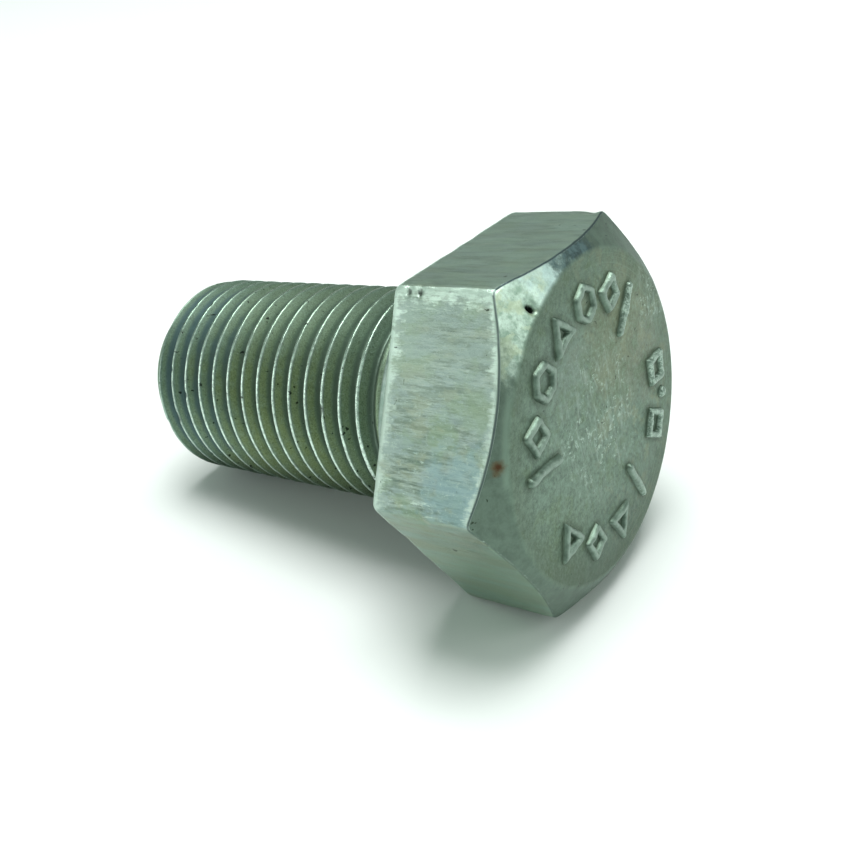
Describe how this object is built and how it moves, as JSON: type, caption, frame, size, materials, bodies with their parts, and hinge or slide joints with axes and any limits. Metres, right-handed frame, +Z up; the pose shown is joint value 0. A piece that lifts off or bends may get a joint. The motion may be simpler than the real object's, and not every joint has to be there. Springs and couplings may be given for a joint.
{
  "type": "hex bolt",
  "caption": "Fully threaded hexagon-head bolt with a chamfered head, thin washer face, helical V thread and chamfered point.",
  "frame": {"origin": "on the surface that the bolt lies on, below the middle of its bounding box", "axes": "+Z up; +X level, from the threaded end towards the head; the bolt's own axis lies in the XZ plane and rises 8.28 degrees towards the head, because the bolt rests on one wrench flat's edge and on its thread; +Y level, across the head"},
  "size_m": [0.031, 0.0214, 0.0193],
  "materials": {
    "zinc_head": "zinc plate, dull and mottled, with brushed wrench flats",
    "zinc_bearing": "zinc plate, turned face",
    "zinc_thread": "zinc plate, darker in the grooves, with bright worn crests",
    "zinc_marks": "zinc plate, edges rubbed bright"
  },
  "bodies": {
    "root": {"hex_head": "zinc_head", "washer_face": "zinc_bearing", "underhead_neck": "zinc_thread", "threaded_shank": "zinc_thread", "chamfered_point": "zinc_thread", "divider_bar_1": "zinc_marks", "divider_bar_2": "zinc_marks", "divider_bar_3": "zinc_marks", "lozenge_mark_1": "zinc_marks", "hexagon_mark_1": "zinc_marks", "triangle_mark_1": "zinc_marks", "hexagon_mark_2": "zinc_marks", "lozenge_mark_2": "zinc_marks", "triangle_mark_2": "zinc_marks", "lozenge_mark_3": "zinc_marks", "triangle_mark_3": "zinc_marks", "square_mark_1": "zinc_marks", "square_mark_2": "zinc_marks", "dot_mark": "zinc_marks"}
  },
  "joints": []
}
